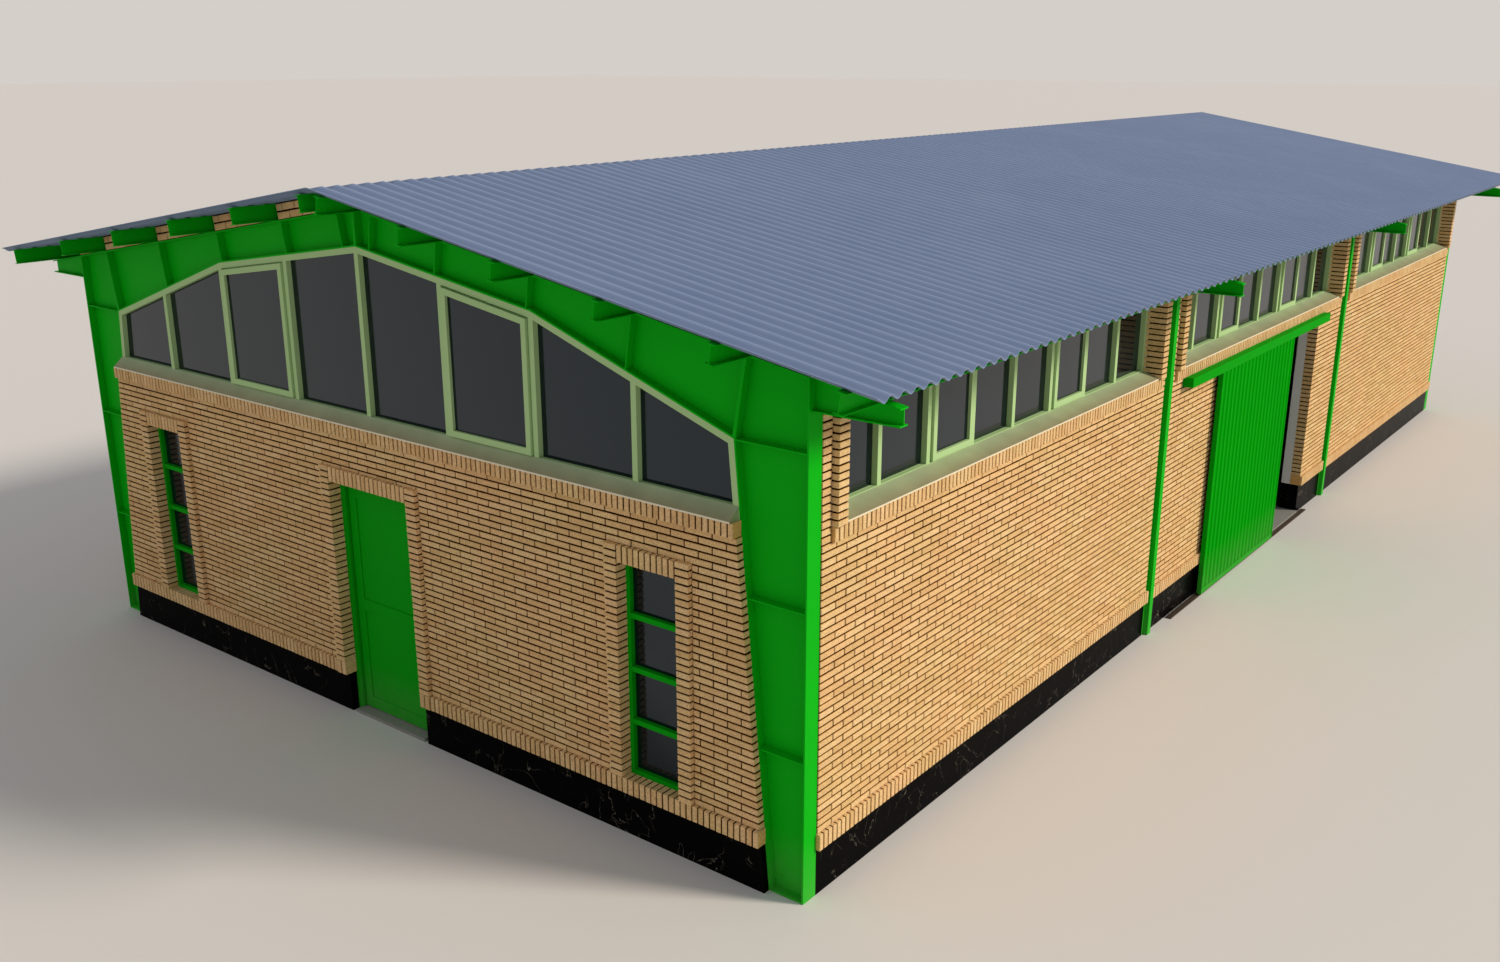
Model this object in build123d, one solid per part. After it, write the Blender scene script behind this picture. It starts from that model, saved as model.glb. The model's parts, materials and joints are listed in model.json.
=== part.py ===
from build123d import *
import os
from math import atan, cos, sin

os.makedirs("parts", exist_ok=True)

# Whole building, in millimetres: X across, Y along, Z up, gate on the +X side
bay_count = 3
bay_length = 6000
half_width = 4500
eave_height = 3810
roof_slope_share = 0.1693
seat_gap = 0.3

# Steel frames
flange_width = 150
flange_thickness = 14
web_thickness = 8
stiffener_thickness = 10
column_foot_depth = 300
column_haunch_depth = 610
haunch_height = 3310
column_stiffener_shares = (0.333, 0.667)
knee_x = 2000
knee_depth = 280
ridge_depth = 312
ridge_stiffener_x = 220
rafter_stiffener_count = 3

# Brackets that carry the eaves
bracket_reach = 650
bracket_foot_height = 3580
bracket_flange_width = 90
bracket_flange_thickness = 10
bracket_web_thickness = 7

# Purlins
purlin_height = 140
purlin_width = 73
purlin_web_thickness = 5
purlin_flange_thickness = 7
inner_purlin_count = 4
first_purlin_x = 1060
wall_purlin_gap = 265
eave_purlin_reach = 490
ridge_purlin_x = 100
purlin_overhang = 410

# Corrugated roof sheets
eave_overhang = 763
roof_overhang = 364
sheet_thickness = 6
wave_pitch = 147
wave_height = 36

# Brick walls and stone plinth
wall_thickness = 220
gable_face_proud = 55
plinth_height = 372
sill_height = 2750
base_band_height = 120
top_band_height = 105
gable_band_proud = 32
side_band_proud = 27
surround_width = 105
gable_surround_proud = 40
side_surround_proud = 52
fill_setback = 10

# Sills
gable_sill_rise = 100
gable_sill_reach = 103
side_sill_rise = 70
side_sill_nose = 35
sill_edge = 12

# Ribbon windows
window_bar = 50
sash_bar = 50
sash_gap = 12
sash_gap_depth = 25
sash_proud = 20
frame_depth = 60
glass_setback = 48
sash_glass_setback = 5
glass_thickness = 6
gable_light_width = 1000
gable_mullion_count = 7
gable_window_foot = 95
gable_sash_lights = (2, 5)
side_window_edge = 300
side_window_head = 3650
side_window_setback = 130
side_light_count = 8
side_window_foot = 75
side_sash_lights = (2, 5)

# Small front windows
small_window_edge = 1340
small_window_width = 580
small_window_drop = 500
small_window_setback = 60
small_frame_depth = 50
small_glass_setback = 40
small_pane_count = 4
small_bar = 42
lintel_height = 120

# Front door
door_half_width = 525
door_head = 2220
door_setback = 70
door_frame_width = 50
door_frame_depth = 75
door_stop_depth = 29
door_stop_width = 15
door_leaf_thickness = 45
door_clearance = 5
door_stop_clearance = 6
door_floor_clearance = 8
door_stile = 110
door_mid_rail_z = 1050
door_panel_depth = 10
hinge_radius = 10
hinge_pin_radius = 5
hinge_pin_clearance = 0.1
hinge_height = 60
hinge_plate_reach = 32
hinge_inset = 12
hinge_zs = (300, 1800)

# Sliding gate
gate_opening_width = 2300
gate_far_pier = 1000
gate_lintel_height = 270
gate_rest_offset = 1350
gate_width = 2400
gate_back_gap = 45
gate_foot = 20
gate_head_clearance = 15
gate_rail = 100
gate_stile = 60
gate_frame_thickness = 45
gate_sheet_inset = 15
gate_sheet_thickness = 15
gate_rib_count = 13
gate_rib_height = 22
gate_rib_foot = 84
gate_rib_top = 52
track_near_gap = 425
track_far_reach = 75
track_height = 100
track_depth = 115
track_wall = 6
track_slot = 30
hanger_spacing = 1700
hanger_width = 100
hanger_thickness = 8
roller_radius = 30
roller_pair_width = 48
hanger_head = 15
guide_near_gap = 525
guide_far_reach = 185
guide_width = 60
guide_height = 12
guide_stand_off = 20

# Floor
floor_thickness = 30

# Worked out from the sizes above
roof_angle = atan(roof_slope_share)
slope_cos = cos(roof_angle)
slope_sin = sin(roof_angle)
half_length = bay_length * bay_count / 2
frame_ys = [bay_length * number - half_length for number in range(bay_count + 1)]
bay_ys = [near + bay_length / 2 for near in frame_ys[:bay_count]]
half_flange = flange_width / 2
frame_end = half_length + half_flange
gable_face = -(frame_end + gable_face_proud)
gable_inside = gable_face + wall_thickness
side_inside = half_width - wall_thickness
roof_half_span = half_width + eave_overhang
last_purlin_x = side_inside - wall_purlin_gap
purlin_spacing = (last_purlin_x - first_purlin_x) / (inner_purlin_count - 1)
inner_purlin_xs = [first_purlin_x + purlin_spacing * number for number in range(inner_purlin_count)]
eave_purlin_x = half_width + eave_purlin_reach
band_top = plinth_height + base_band_height
top_band_foot = sill_height - top_band_height
panel_half = bay_length / 2 - half_flange
side_window_half = bay_length / 2 - side_window_edge
top_band_half = side_window_half + surround_width
gate_bay_y = bay_ys[bay_count // 2]
gate_opening_far = gate_bay_y + bay_length / 2 - gate_far_pier
gate_opening_near = gate_opening_far - gate_opening_width
gate_near = gate_opening_near - gate_rest_offset
track_near = gate_bay_y - bay_length / 2 + track_near_gap
track_far = gate_opening_far + track_far_reach
guide_near = gate_bay_y - bay_length / 2 + guide_near_gap
guide_far = gate_opening_far + guide_far_reach
small_window_x = half_width - small_window_edge
small_window_head = sill_height - small_window_drop
gate_opening_head = sill_height - gate_lintel_height
track_foot = top_band_foot - track_height
gate_head = track_foot - gate_head_clearance
low_corner = (Align.MIN, Align.MIN, Align.MIN)
standing = (Align.CENTER, Align.CENTER, Align.MIN)


def roof_z(x):
    return eave_height + roof_slope_share * (half_width - x)


def under_sheet_z(x):
    return roof_z(x) + purlin_height / slope_cos


def column_inner_x(z):
    lean_share = (column_haunch_depth - column_foot_depth) / haunch_height
    return half_width - column_foot_depth - lean_share * z


def on_slope(x, across, up):
    return (x + across * slope_cos + up * slope_sin, roof_z(x) - across * slope_sin + up * slope_cos)


haunch = (half_width - column_haunch_depth, haunch_height)
splice_rise = (roof_z(haunch[0]) - haunch_height) * slope_cos
splice = (haunch[0] + splice_rise * slope_sin, haunch_height + splice_rise * slope_cos)
knee = (knee_x, roof_z(knee_x) - knee_depth)
ridge_foot = (0, roof_z(0) - ridge_depth)


def outline(*points):
    return make_face(Polyline(*points, close=True))


def rectangle(left, right, foot, top):
    return outline((left, foot), (right, foot), (right, top), (left, top))


def upright(sketch, near, far):
    plate = extrude(Plane.XZ * sketch, amount=(far - near) / 2, both=True)
    return Pos(0, (near + far) / 2, 0) * plate


def sideways(sketch, inner, outer):
    plate = extrude(Plane.YZ * sketch, amount=(outer - inner) / 2, both=True)
    return Pos((inner + outer) / 2, 0, 0) * plate


def block(left, right, near, far, foot, top):
    return Pos(left, near, foot) * Box(right - left, far - near, top - foot, align=low_corner)


def left_of(piece):
    return mirror(piece, about=Plane.YZ)


def rear_of(piece):
    return mirror(piece, about=Plane.XZ)


def save(name, *pieces):
    solids = [solid for piece in pieces for solid in piece.solids()]
    export_step(Compound(children=solids), f"parts/{name}.step")


def steel_section(sketch, stiffeners):
    hollow = offset(sketch, amount=-flange_thickness, kind=Kind.INTERSECTION)
    piece = upright(sketch - hollow, -half_flange, half_flange)
    piece += upright(sketch, -web_thickness / 2, web_thickness / 2)
    for stiffener in stiffeners:
        piece += upright(sketch & stiffener, -half_flange, half_flange)
    return piece


def column():
    foot = (half_width, 0)
    eave = (half_width, eave_height)
    inner_foot = (half_width - column_foot_depth, 0)
    levels = [share * haunch_height for share in column_stiffener_shares] + [haunch_height]
    plates = [rectangle(0, half_width, z - stiffener_thickness, z) for z in levels]
    return steel_section(outline(foot, eave, splice, haunch, inner_foot), plates)


def rafter():
    sketch = outline(splice, (0, roof_z(0)), ridge_foot, knee, haunch)
    plates = []
    spaced = [gable_light_width * (number + 1) for number in range(rafter_stiffener_count)]
    for x in [ridge_stiffener_x] + spaced:
        left_top = on_slope(x, -stiffener_thickness / 2, 0)
        right_top = on_slope(x, stiffener_thickness / 2, 0)
        right_foot = on_slope(x, stiffener_thickness / 2, -column_haunch_depth)
        left_foot = on_slope(x, -stiffener_thickness / 2, -column_haunch_depth)
        plates.append(outline(left_top, right_top, right_foot, left_foot))
    return steel_section(sketch, plates)


def bracket():
    end = half_width + bracket_reach
    half = bracket_flange_width / 2
    drop = bracket_flange_thickness / slope_cos
    top_line = ((half_width, eave_height), (end, roof_z(end)))
    web = outline(*top_line, (end, bracket_foot_height), (half_width, bracket_foot_height))
    cap = outline(*top_line, (end, roof_z(end) - drop), (half_width, eave_height - drop))
    shelf_top = bracket_foot_height + bracket_flange_thickness
    piece = upright(web, -bracket_web_thickness / 2, bracket_web_thickness / 2)
    piece += upright(cap, -half, half)
    piece += upright(rectangle(half_width, end, bracket_foot_height, shelf_top), -half, half)
    return piece


def purlin(x):
    half = purlin_width / 2
    thin = purlin_web_thickness / 2
    low = purlin_flange_thickness
    high = purlin_height - purlin_flange_thickness
    right_side = [(half, 0), (half, low), (thin, low), (thin, high), (half, high), (half, purlin_height)]
    left_side = [(-across, up) for across, up in reversed(right_side)]
    points = [on_slope(x, across, up) for across, up in right_side + left_side]
    reach = frame_end + purlin_overhang
    return upright(outline(*points), -reach, reach)


def roof_sheet():
    length = (frame_end + roof_overhang) * 2
    waves = round(length / wave_pitch)
    pitch = length / waves
    low = under_sheet_z(0) + seat_gap / slope_cos
    high = low + wave_height / slope_cos
    troughs = [(pitch * number - length / 2, low) for number in range(waves)]
    lower = [point for y, z in troughs for point in ((y, z), (y + pitch / 2, high))]
    lower.append((length / 2, low))
    upper = [(y, z + sheet_thickness / slope_cos) for y, z in reversed(lower)]
    profile = Plane.YZ * outline(*lower, *upper)
    run = Vector(slope_cos, 0, -slope_sin)
    return Pos(seat_gap, 0, 0) * extrude(profile, amount=roof_half_span / slope_cos, dir=run)


def verge_fill():
    near = -frame_end + fill_setback
    far = -frame_end + flange_width - fill_setback
    half = purlin_width / 2
    starts = [ridge_purlin_x] + inner_purlin_xs
    ends = [on_slope(x, -half, 0) for x in inner_purlin_xs] + [on_slope(half_width, 0, 0)]
    pieces = []
    for start, end in zip(starts, ends):
        first = on_slope(start, half, 0)
        up = (purlin_height * slope_sin, purlin_height * slope_cos)
        points = [first, end, (end[0] + up[0], end[1] + up[1]), (first[0] + up[0], first[1] + up[1])]
        pieces.append(upright(outline(*points), near, far))
    return pieces


def gable_outline(foot, top):
    wide = column_inner_x(foot)
    narrow = column_inner_x(top)
    return outline((-wide, foot), (wide, foot), (narrow, top), (-narrow, top))


def gable_bands(sketch):
    wide = half_width
    low = rectangle(-wide, wide, plinth_height, band_top)
    return sketch & (low + rectangle(-wide, wide, top_band_foot, sill_height))


def gable_piece(body, bands, surrounds):
    piece = upright(body, gable_face, gable_inside)
    piece += upright(bands, gable_face - gable_band_proud, gable_inside)
    if surrounds:
        piece += upright(surrounds, gable_face - gable_surround_proud, gable_inside)
    return piece


def small_window_hole(centre):
    half = small_window_width / 2
    return rectangle(centre - half, centre + half, band_top, small_window_head)


def front_wall():
    door_hole = rectangle(-door_half_width, door_half_width, 0, door_head)
    holes = door_hole + small_window_hole(-small_window_x) + small_window_hole(small_window_x)
    whole = gable_outline(plinth_height, sill_height)
    wide = door_half_width + surround_width
    frames = rectangle(-wide, wide, plinth_height, door_head + lintel_height)
    reach = small_window_width / 2 + surround_width
    for centre in (-small_window_x, small_window_x):
        frames += rectangle(centre - reach, centre + reach, band_top, small_window_head + lintel_height)
    body = whole - holes
    bands = gable_bands(body)
    surrounds = (whole & frames) - holes
    clips = {
        "front_wall_left": rectangle(-half_width, -door_half_width, 0, sill_height),
        "front_wall_over_door": rectangle(-door_half_width, door_half_width, 0, sill_height),
        "front_wall_right": rectangle(door_half_width, half_width, 0, sill_height),
    }
    for name, clip in clips.items():
        save(name, gable_piece(body & clip, bands & clip, surrounds & clip))


def rear_wall():
    body = gable_outline(plinth_height, sill_height)
    save("rear_wall", rear_of(gable_piece(body, gable_bands(body), None)))


def side_panel(middle, near, far, foot):
    piece = block(side_inside, half_width, near, far, foot, sill_height)
    face = half_width + side_band_proud
    start = max(near, middle - top_band_half)
    end = min(far, middle + top_band_half)
    piece += block(side_inside, face, start, end, top_band_foot, sill_height)
    if foot == plinth_height:
        piece += block(side_inside, face, near, far, plinth_height, band_top)
    return piece


def side_walls():
    for number, middle in enumerate(bay_ys):
        panel = side_panel(middle, middle - panel_half, middle + panel_half, plinth_height)
        save(f"left_wall_bay_{number + 1}", left_of(panel))
        if number != bay_count // 2:
            save(f"right_wall_bay_{number + 1}", panel)
    middle = gate_bay_y
    save("gate_wall_near", side_panel(middle, middle - panel_half, gate_opening_near, plinth_height))
    save("gate_wall_far", side_panel(middle, gate_opening_far, middle + panel_half, plinth_height))
    save("gate_lintel", side_panel(middle, gate_opening_near, gate_opening_far, gate_opening_head))


def under_roof(inner, outer, foot, near, far):
    tops = ((outer, under_sheet_z(outer)), (inner, under_sheet_z(inner)))
    return upright(outline((inner, foot), (outer, foot), *tops), near, far)


def window_surround(middle):
    near = middle - panel_half
    far = middle + panel_half
    left = middle - side_window_half
    right = middle + side_window_half
    face = half_width + side_surround_proud
    piece = under_roof(side_inside, half_width, side_window_head, near, far)
    piece += under_roof(side_inside, half_width, sill_height, near, left)
    piece += under_roof(side_inside, half_width, sill_height, right, far)
    piece += under_roof(side_inside, face, sill_height, left - surround_width, left)
    piece += under_roof(side_inside, face, sill_height, right, right + surround_width)
    return piece


def plinths():
    whole = gable_outline(0, plinth_height)
    door_hole = rectangle(-door_half_width, door_half_width, 0, plinth_height)
    front = upright(whole - door_hole, gable_face, gable_inside)
    save("gable_plinths", front, rear_of(upright(whole, gable_face, gable_inside)))
    runs = [(middle - panel_half, middle + panel_half) for middle in bay_ys]
    bases = [block(side_inside, half_width, near, far, 0, plinth_height) for near, far in runs]
    doorway = block(0, half_width + wall_thickness, gate_opening_near, gate_opening_far, 0, plinth_height)
    save("side_plinths", *[left_of(base) for base in bases], *[base - doorway for base in bases])


def sills():
    inner = -frame_end
    nose = inner - gable_sill_reach
    lip = sill_height + sill_edge
    high = sill_height + gable_sill_rise
    profile = outline((inner, sill_height), (inner, high), (nose, lip), (nose, sill_height))
    reach = column_inner_x(high)
    front = sideways(profile, -reach, reach)
    save("gable_sills", front, rear_of(front))
    inner = half_width - side_window_setback
    nose = half_width + side_sill_nose
    high = sill_height + side_sill_rise
    profile = outline((inner, sill_height), (inner, high), (nose, lip), (nose, sill_height))
    pieces = [upright(profile, y - side_window_half, y + side_window_half) for y in bay_ys]
    save("side_sills", *pieces, *[left_of(piece) for piece in pieces])


def light_faces(inside, edges, foot, sashes):
    panes = []
    gaps = []
    leaves = []
    for number, (left, right) in enumerate(zip(edges, edges[1:])):
        half = window_bar / 2
        pane = inside & rectangle(left + half, right - half, foot, roof_z(0))
        setback = glass_setback
        if number in sashes:
            leaf = offset(pane, amount=-sash_gap, kind=Kind.INTERSECTION)
            gaps.append(pane - leaf)
            pane = offset(leaf, amount=-sash_bar, kind=Kind.INTERSECTION)
            leaves.append(leaf - pane)
            setback = sash_glass_setback
        panes.append((pane, setback))
    return panes, gaps, leaves


def gable_window():
    wide = column_inner_x(sill_height)
    right_side = [(wide, sill_height), haunch, knee]
    left_side = [(-x, z) for x, z in reversed(right_side)]
    sketch = outline(*right_side, ridge_foot, *left_side)
    inside = offset(sketch, amount=-window_bar, kind=Kind.INTERSECTION)
    first = -gable_light_width * (gable_mullion_count - 1) / 2
    mullions = [first + gable_light_width * number for number in range(gable_mullion_count)]
    foot = sill_height + gable_window_foot
    edges = [-half_width] + mullions + [half_width]
    panes, gaps, leaves = light_faces(inside, edges, foot, gable_sash_lights)
    outer = -frame_end
    glass = []
    for pane, setback in panes:
        sketch -= pane
        front = outer + setback
        glass.append(upright(pane, front, front + glass_thickness))
    frame = upright(sketch, outer, outer + frame_depth)
    for gap, leaf in zip(gaps, leaves):
        frame -= upright(gap, outer, outer + sash_gap_depth)
        frame += upright(leaf, outer - sash_proud, outer)
    return frame, glass


def side_window():
    half = side_window_half
    sketch = rectangle(-half, half, sill_height, side_window_head)
    inside = offset(sketch, amount=-window_bar, kind=Kind.INTERSECTION)
    width = half * 2 / side_light_count
    edges = [width * number - half for number in range(side_light_count + 1)]
    foot = sill_height + side_window_foot
    panes, gaps, leaves = light_faces(inside, edges, foot, side_sash_lights)
    outer = half_width - side_window_setback
    glass = []
    for pane, setback in panes:
        sketch -= pane
        front = outer - setback
        glass.append(sideways(pane, front - glass_thickness, front))
    frame = sideways(sketch, outer - frame_depth, outer)
    for gap, leaf in zip(gaps, leaves):
        frame -= sideways(gap, outer - sash_gap_depth, outer)
        frame += sideways(leaf, outer, outer + sash_proud)
    return frame, glass


def ribbon_windows():
    frame, panes = gable_window()
    save("front_gable_window", frame)
    save("rear_gable_window", rear_of(frame))
    save("gable_glass", *panes, *[rear_of(pane) for pane in panes])
    frame, panes = side_window()
    frames = [Pos(0, y, 0) * frame for y in bay_ys]
    glass = [Pos(0, y, 0) * pane for y in bay_ys for pane in panes]
    save("right_windows", *frames)
    save("left_windows", *[left_of(piece) for piece in frames])
    save("side_glass", *glass, *[left_of(pane) for pane in glass])


def small_windows():
    outer = gable_face + small_window_setback
    inner = outer + small_frame_depth
    front = outer + small_glass_setback
    sketch = small_window_hole(small_window_x)
    half = small_window_width / 2 - small_bar
    rise = (small_window_head - band_top - small_bar) / small_pane_count
    panes = []
    for number in range(small_pane_count):
        foot = band_top + small_bar + rise * number
        pane = rectangle(small_window_x - half, small_window_x + half, foot, foot + rise - small_bar)
        panes.append(upright(pane, front, front + glass_thickness))
        sketch -= pane
    frame = upright(sketch, outer, inner)
    save("small_window_frames", frame, left_of(frame))
    save("small_window_glass", *panes, *[left_of(pane) for pane in panes])


door_front = gable_face + door_setback
door_back = door_front + door_frame_depth
leaf_half = door_half_width - door_frame_width - door_clearance
leaf_front = door_front + door_stop_depth + door_stop_clearance
leaf_back = leaf_front + door_leaf_thickness
leaf_foot = floor_thickness + door_floor_clearance
leaf_top = door_head - door_frame_width - door_clearance
hinge_x = -leaf_half - door_clearance / 2
hinge_y = leaf_back + hinge_inset


def knuckle(foot, radius, height):
    return Pos(hinge_x, hinge_y, foot) * Cylinder(radius, height, align=standing)


def door_frame():
    hole = rectangle(-door_half_width, door_half_width, 0, door_head)
    clear = door_half_width - door_frame_width
    stop = clear - door_stop_width
    head = door_head - door_frame_width
    piece = upright(hole - rectangle(-clear, clear, 0, head), door_front, door_back)
    stop_sketch = hole - rectangle(-stop, stop, 0, head - door_stop_width)
    piece += upright(stop_sketch, door_front, door_front + door_stop_depth)
    foot_cut = block(-clear, clear, door_front, door_back, 0, floor_thickness)
    piece -= foot_cut
    for z in hinge_zs:
        flag = block(hinge_x - hinge_plate_reach, -clear, door_back, hinge_y, z, z + hinge_height)
        piece += flag + knuckle(z, hinge_radius, hinge_height)
        piece += knuckle(z, hinge_pin_radius, hinge_height * 2)
    return piece


def door_leaf():
    piece = block(-leaf_half, leaf_half, leaf_front, leaf_back, leaf_foot, leaf_top)
    panel_half = leaf_half - door_stile
    panel_back = leaf_front + door_panel_depth
    half_rail = door_stile / 2
    lower_panel = (leaf_foot + door_stile, door_mid_rail_z - half_rail)
    upper_panel = (door_mid_rail_z + half_rail, leaf_top - door_stile)
    for foot, top in (lower_panel, upper_panel):
        piece -= block(-panel_half, panel_half, leaf_front, panel_back, foot, top)
    for z in hinge_zs:
        foot = z + hinge_height + seat_gap
        flag = block(hinge_x, hinge_x + hinge_plate_reach, leaf_back, hinge_y, foot, foot + hinge_height)
        piece += flag + knuckle(foot, hinge_radius, hinge_height)
        piece -= knuckle(foot, hinge_pin_radius + hinge_pin_clearance, hinge_height)
    return piece


gate_back = half_width + gate_back_gap
gate_far = gate_near + gate_width
gate_middle_x = gate_back + gate_frame_thickness / 2
track_lip_top = track_foot + track_wall


def gate_leaf():
    front = gate_back + gate_frame_thickness
    piece = block(gate_back, front, gate_near, gate_far, gate_head - gate_rail, gate_head)
    piece += block(gate_back, front, gate_near, gate_far, gate_foot, gate_foot + gate_rail)
    piece += block(gate_back, front, gate_near, gate_near + gate_stile, gate_foot, gate_head)
    piece += block(gate_back, front, gate_far - gate_stile, gate_far, gate_foot, gate_head)
    back = gate_back + gate_sheet_inset
    face = back + gate_sheet_thickness
    start = gate_near + gate_stile
    pitch = (gate_width - gate_stile * 2) / gate_rib_count
    points = [(back, start)]
    for number in range(gate_rib_count):
        middle = start + pitch * (number + 1 / 2)
        for half, x in ((-gate_rib_foot, 0), (-gate_rib_top, gate_rib_height)):
            points.append((face + x, middle + half / 2))
        for half, x in ((gate_rib_top, gate_rib_height), (gate_rib_foot, 0)):
            points.append((face + x, middle + half / 2))
    end = gate_far - gate_stile
    sketch = outline(points[0], (face, start), *points[1:], (face, end), (back, end))
    foot = gate_foot + gate_rail
    height = gate_head - gate_rail - foot
    return piece + Pos(0, 0, foot) * extrude(sketch, amount=height)


def gate_hangers():
    middle = gate_near + gate_width / 2
    left = gate_middle_x - hanger_thickness / 2
    axle_z = track_lip_top + seat_gap + roller_radius
    top = axle_z + hanger_head
    roller = Plane.YZ * Cylinder(roller_radius, roller_pair_width)
    pieces = []
    for y in (middle - hanger_spacing / 2, middle + hanger_spacing / 2):
        near = y - hanger_width / 2
        plate = block(left, left + hanger_thickness, near, near + hanger_width, gate_head, top)
        pieces.append(plate + Pos(gate_middle_x, y, axle_z) * roller)
    return pieces


def gate_track():
    outer = half_width + track_depth
    top = track_foot + track_height
    piece = block(half_width, outer, track_near, track_far, track_foot, top)
    inner = half_width + track_wall
    piece -= block(inner, outer - track_wall, track_near, track_far, track_lip_top, top - track_wall)
    slot = track_slot / 2
    slot_left = gate_middle_x - slot
    piece -= block(slot_left, slot_left + track_slot, track_near, track_far, track_foot, track_lip_top)
    return piece


def floor_slab():
    piece = block(-side_inside, side_inside, gable_inside, -gable_inside, 0, floor_thickness)
    door_clear = door_half_width - door_frame_width
    piece += block(-door_clear, door_clear, gable_face, gable_inside, 0, floor_thickness)
    tongue_end = half_width + guide_stand_off
    piece += block(side_inside, tongue_end, gate_opening_near, gate_opening_far, 0, floor_thickness)
    for y in frame_ys[1:bay_count]:
        inner = column_inner_x(floor_thickness)
        notch = block(inner, half_width, y - half_flange, y + half_flange, 0, floor_thickness)
        piece -= notch
        piece -= left_of(notch)
    return piece


def steel_frames():
    right_column = column()
    right_rafter = rafter()
    for number, y in enumerate(frame_ys):
        post = Pos(0, y, 0) * right_column
        save(f"frame_{number + 1}_columns", left_of(post), post)
    rafters = [Pos(0, y, 0) * right_rafter for y in frame_ys]
    save("right_rafters", *rafters)
    save("left_rafters", *[left_of(piece) for piece in rafters])
    brackets = [Pos(0, y, 0) * bracket() for y in frame_ys]
    save("eave_brackets", *brackets, *[left_of(piece) for piece in brackets])


def roof():
    purlins = [purlin(x) for x in [ridge_purlin_x] + inner_purlin_xs + [eave_purlin_x]]
    save("right_purlins", *purlins)
    save("left_purlins", *[left_of(piece) for piece in purlins])
    sheet = roof_sheet()
    save("right_roof_sheet", sheet)
    save("left_roof_sheet", left_of(sheet))
    fills = verge_fill()
    fills += [left_of(piece) for piece in fills]
    save("verge_brick_fill", *fills, *[rear_of(piece) for piece in fills])


steel_frames()
roof()
front_wall()
rear_wall()
side_walls()
surrounds = [window_surround(middle) for middle in bay_ys]
save("right_window_surrounds", *surrounds)
save("left_window_surrounds", *[left_of(piece) for piece in surrounds])
plinths()
sills()
ribbon_windows()
small_windows()
save("door_frame", door_frame())
save("door_leaf", door_leaf())
save("gate_leaf", gate_leaf())
save("gate_hangers", *gate_hangers())
save("gate_track", gate_track())
guide_x = half_width + guide_stand_off
save("gate_floor_guide", block(guide_x, guide_x + guide_width, guide_near, guide_far, 0, guide_height))
save("floor_slab", floor_slab())
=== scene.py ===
import json
from math import atan, ceil, cos, floor, pi, radians, sin, sqrt

import bmesh
import bpy
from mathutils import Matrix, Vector


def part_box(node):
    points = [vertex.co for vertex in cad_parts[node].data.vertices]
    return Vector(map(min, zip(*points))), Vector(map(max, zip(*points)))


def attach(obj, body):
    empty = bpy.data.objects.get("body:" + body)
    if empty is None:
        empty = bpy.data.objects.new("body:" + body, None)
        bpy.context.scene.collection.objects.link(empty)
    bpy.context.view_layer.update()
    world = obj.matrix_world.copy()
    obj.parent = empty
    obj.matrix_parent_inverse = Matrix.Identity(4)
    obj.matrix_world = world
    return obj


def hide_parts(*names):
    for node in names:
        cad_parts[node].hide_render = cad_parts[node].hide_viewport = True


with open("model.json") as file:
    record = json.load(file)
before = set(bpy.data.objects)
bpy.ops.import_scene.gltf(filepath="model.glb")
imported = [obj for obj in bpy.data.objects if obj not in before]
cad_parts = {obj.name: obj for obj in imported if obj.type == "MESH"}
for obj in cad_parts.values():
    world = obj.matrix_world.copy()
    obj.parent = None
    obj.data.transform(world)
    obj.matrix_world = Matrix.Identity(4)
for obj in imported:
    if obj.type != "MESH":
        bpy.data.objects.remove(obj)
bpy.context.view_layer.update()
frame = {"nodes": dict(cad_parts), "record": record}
nodes = frame["nodes"]
scene = bpy.context.scene
print("frame loaded:", len(nodes), "nodes")


def linear(code):
    parts = [int(code[i:i + 2], 16) / 255 for i in (1, 3, 5)]
    return [p / 12.92 if p <= 0.04045 else ((p + 0.055) / 1.055) ** 2.4 for p in parts] + [1.0]


# A node given as a value stands for its first output in use
def setInputs(tree, node, inputs):
    for key, value in inputs.items():
        if isinstance(value, bpy.types.Node):
            value = next(socket for socket in value.outputs if socket.enabled)
        if isinstance(value, bpy.types.NodeSocket):
            tree.links.new(value, node.inputs[key])
        else:
            node.inputs[key].default_value = value


def addNode(tree, kind, inputs=None, **settings):
    node = tree.nodes.new(kind)
    for key, value in settings.items():
        setattr(node, key, value)
    setInputs(tree, node, inputs or {})
    return node


shaderSockets = {"roughness": "Roughness", "metallic": "Metallic", "ior": "IOR",
                 "specular": "Specular IOR Level", "transmission": "Transmission Weight"}
noiseSpread = {"From Min": 0.3, "From Max": 0.7}  # noise seldom goes past these
noiseMiddle = 0.5


def startMaterial(name, look):
    material = bpy.data.materials.new(name)
    material.use_nodes = True
    tree = material.node_tree
    shader = tree.nodes["Principled BSDF"]
    setInputs(tree, shader, {socket: look[key] for key, socket in shaderSockets.items() if key in look})
    place = addNode(tree, "ShaderNodeTexCoord").outputs["Object"]
    return material, tree, shader, place


def setRamp(node, stops):
    elements = node.color_ramp.elements
    while len(elements) < len(stops):
        elements.new(0.5)
    for element, (spot, code) in zip(elements, stops):
        element.position = spot
        element.color = linear(code)


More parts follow.
